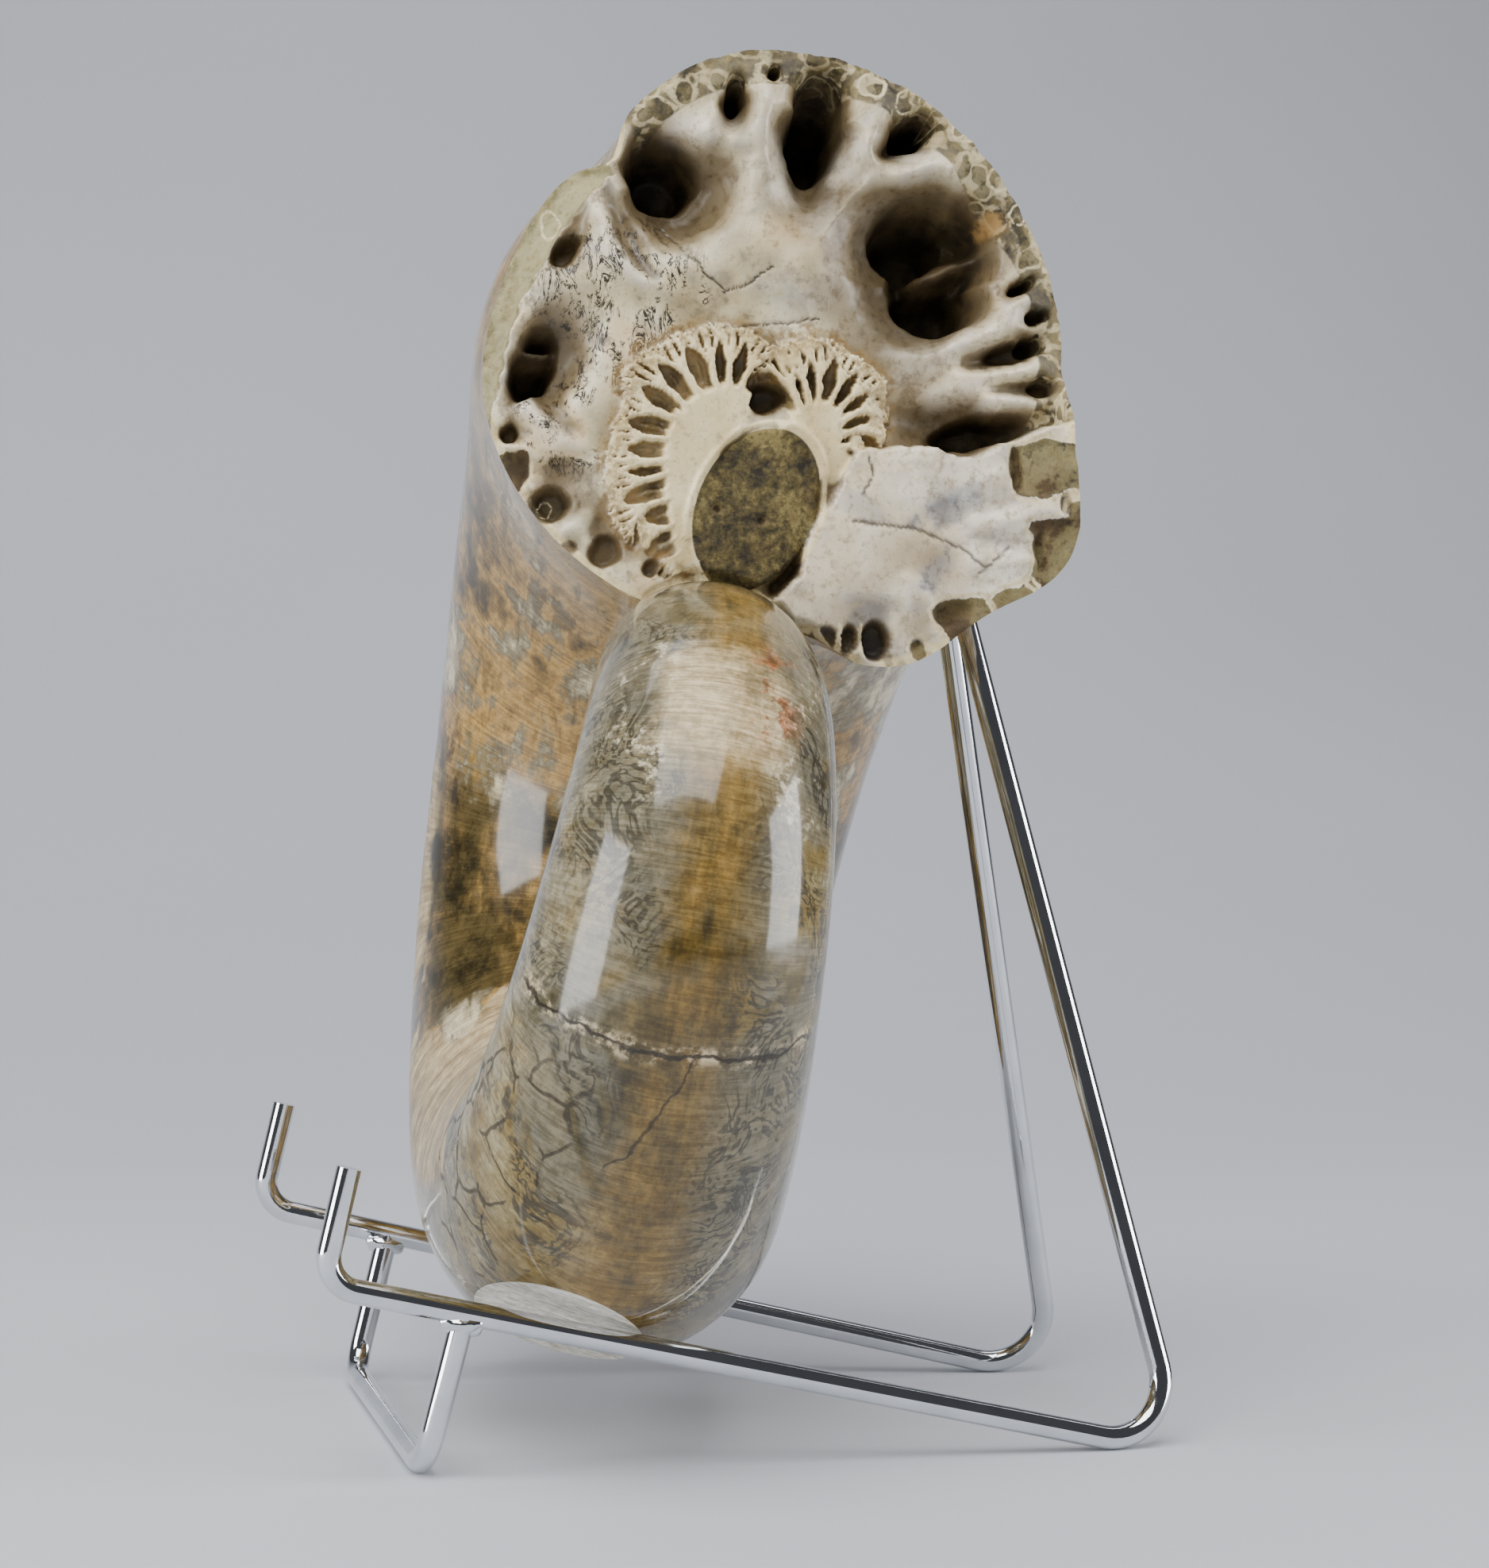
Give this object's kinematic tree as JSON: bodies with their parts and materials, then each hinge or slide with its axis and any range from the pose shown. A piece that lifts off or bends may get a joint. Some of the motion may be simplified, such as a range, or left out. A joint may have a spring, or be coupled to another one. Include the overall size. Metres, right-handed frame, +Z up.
{
  "type": "fossil ammonite on easel",
  "caption": "Polished fossil ammonite with a broken end that bares its folded septum, standing on edge against a bent chrome wire easel",
  "frame": {"origin": "bottom centre of the whole object's box, on the surface it stands on", "axes": "+Z up, -Y the easel's hooks and front foot, +Y its rear bends and risers, +X the side that the broken end faces"},
  "size_m": [0.2132, 0.183, 0.2893],
  "materials": {
    "fossil": "polished mottled shell with a dull broken end",
    "chrome_wire": "polished"
  },
  "bodies": {
    "root": {"ammonite": "fossil", "easel_wire": "chrome_wire", "front_foot": "chrome_wire"}
  },
  "joints": []
}
